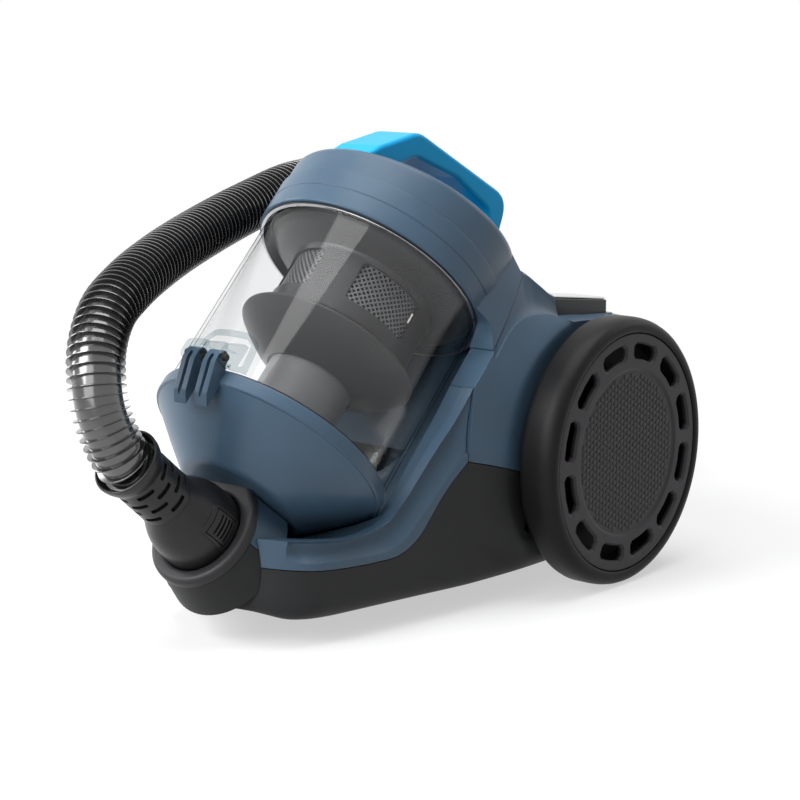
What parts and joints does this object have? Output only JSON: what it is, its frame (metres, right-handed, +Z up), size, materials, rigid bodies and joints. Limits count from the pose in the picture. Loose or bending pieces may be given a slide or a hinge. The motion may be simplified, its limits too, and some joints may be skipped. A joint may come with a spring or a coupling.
{
  "type": "canister vacuum cleaner",
  "caption": "Compact bagless canister vacuum cleaner with a leaning clear dust bin, large rear wheels, carry handle and a ribbed hose that bends over one side.",
  "frame": {"origin": "on the floor below the middle of the machine, leaving out the hose and its grip", "axes": "+X across the machine to its right side seen from behind the hose end, +Y from the hose end to the exhaust, +Z up"},
  "size_m": [0.4147, 0.7603, 0.3186],
  "materials": {
    "blue": "steel-blue gloss",
    "bright": "bright blue gloss",
    "black": "fine black grain",
    "pedal_black": "black gloss",
    "grey": "dark grey satin",
    "hub": "dark grey grain",
    "tyre": "black satin rubber",
    "seal": "soft black rubber",
    "clear": "clear moulded",
    "smoke": "smoke grey",
    "mesh": "fine mesh",
    "steel": "brushed",
    "chrome": "mirror",
    "hose": "black gloss",
    "foam": "open foam",
    "paper": "pleated paper",
    "board": "green board"
  },
  "bodies": {
    "root": {"base_pan": "black", "front_deck": "blue", "rear_housing": "blue", "nose_housing": "grey", "intake_duct": "black", "axle_pin_right": "steel", "axle_pin_left": "steel", "motor_can": "steel", "fan_cover": "steel", "motor_mount_front": "seal", "motor_mount_rear": "seal", "reel_spring_case": "black", "reel_axle": "steel", "control_board": "board", "power_switch": "black", "exhaust_grille": "black", "exhaust_filter": "paper", "cord_outlet": "black", "base_screw_1": "steel", "base_screw_2": "steel", "base_screw_3": "steel", "base_screw_4": "steel", "hose": "hose", "hose_grip": "black"},
    "wheel_right": {"tyre_right": "tyre", "wheel_core_right": "black", "hub_plate_right": "hub"},
    "wheel_left": {"tyre_left": "tyre", "wheel_core_left": "black", "hub_plate_left": "hub"},
    "caster": {"caster_fork": "black", "caster_pin": "steel", "caster_clip": "steel"},
    "caster_roller": {"caster_wheel": "tyre"},
    "fan": {"impeller": "steel", "motor_shaft": "steel"},
    "reel": {"reel_drum": "grey"},
    "bin": {"bin_tube": "clear", "flap_seal": "seal", "hinge_pin": "steel", "cyclone_shroud": "smoke", "cyclone_mesh": "mesh", "cyclone_skirt": "smoke", "dust_tube": "smoke", "lid_collar": "blue", "lid_trim": "seal", "carry_handle": "bright", "filter_frame": "black", "foam_filter": "foam"},
    "flap": {"bin_flap": "blue"},
    "bin_button": {"release_button": "bright"},
    "cuff": {"cuff_body": "black", "cuff_sleeve": "black"},
    "cuff_latch_right": {"cuff_button_right": "pedal_black"},
    "cuff_latch_left": {"cuff_button_left": "pedal_black"},
    "pedal_power": {"power_pedal": "pedal_black", "power_pedal_plate": "chrome"},
    "pedal_rewind": {"rewind_pedal": "pedal_black", "rewind_pedal_plate": "chrome"},
    "slider": {"suction_slider": "grey"}
  },
  "joints": [
    {"name": "wheel_right_spin", "type": "hinge", "parent": "root", "child": "wheel_right", "pos_m": [0.12, 0.13691, 0.095], "axis": [1, 0, 0], "continuous": true},
    {"name": "wheel_left_spin", "type": "hinge", "parent": "root", "child": "wheel_left", "pos_m": [-0.12, 0.13691, 0.095], "axis": [1, 0, 0], "continuous": true},
    {"name": "caster_swivel", "type": "hinge", "parent": "root", "child": "caster", "pos_m": [0, -0.05309, 0.044], "axis": [0, 0, 1], "continuous": true},
    {"name": "caster_roll", "type": "hinge", "parent": "caster", "child": "caster_roller", "pos_m": [0, -0.04509, 0.015], "axis": [1, 0, 0], "continuous": true},
    {"name": "fan_spin", "type": "hinge", "parent": "root", "child": "fan", "pos_m": [-0.06, 0.14491, 0.084], "axis": [1, 0, 0], "continuous": true},
    {"name": "reel_spin", "type": "hinge", "parent": "root", "child": "reel", "pos_m": [0.04, 0.14491, 0.084], "axis": [1, 0, 0], "continuous": true},
    {"name": "bin_lift", "type": "slide", "parent": "root", "child": "bin", "axis": [0, 0.7055, 0.7087], "range_m": [0, 0.3]},
    {"name": "flap_hinge", "type": "hinge", "parent": "bin", "child": "flap", "pos_m": [0, -0.1453, 0.18706], "axis": [-1, 0, 0], "range_deg": [0, 60.2]},
    {"name": "bin_button_press", "type": "slide", "parent": "bin", "child": "bin_button", "axis": [0, -0.7087, 0.7055], "range_m": [0, 0.0025], "stiffness_N_per_m": 400},
    {"name": "cuff_turn", "type": "hinge", "parent": "root", "child": "cuff", "pos_m": [0, -0.15409, 0.075], "axis": [0, -0.7547, 0.6561], "continuous": true},
    {"name": "cuff_latch_right_press", "type": "slide", "parent": "cuff", "child": "cuff_latch_right", "axis": [-1, 0, 0], "range_m": [0, 0.0018], "stiffness_N_per_m": 400},
    {"name": "cuff_latch_left_press", "type": "slide", "parent": "cuff", "child": "cuff_latch_left", "axis": [1, 0, 0], "range_m": [0, 0.0018], "stiffness_N_per_m": 400},
    {"name": "power_press", "type": "slide", "parent": "root", "child": "pedal_power", "axis": [0, 0, -1], "range_m": [0, 0.0035], "stiffness_N_per_m": 1500},
    {"name": "rewind_press", "type": "slide", "parent": "root", "child": "pedal_rewind", "axis": [0, 0, -1], "range_m": [0, 0.0035], "stiffness_N_per_m": 1500},
    {"name": "suction_slide", "type": "slide", "parent": "root", "child": "slider", "axis": [-0.9983, -0.0587, 0], "range_m": [0, 0.0095]}
  ],
  "couplings": [
    {"joint": "flap_hinge", "follows": "bin_lift", "rad_per_m": 3.5}
  ]
}
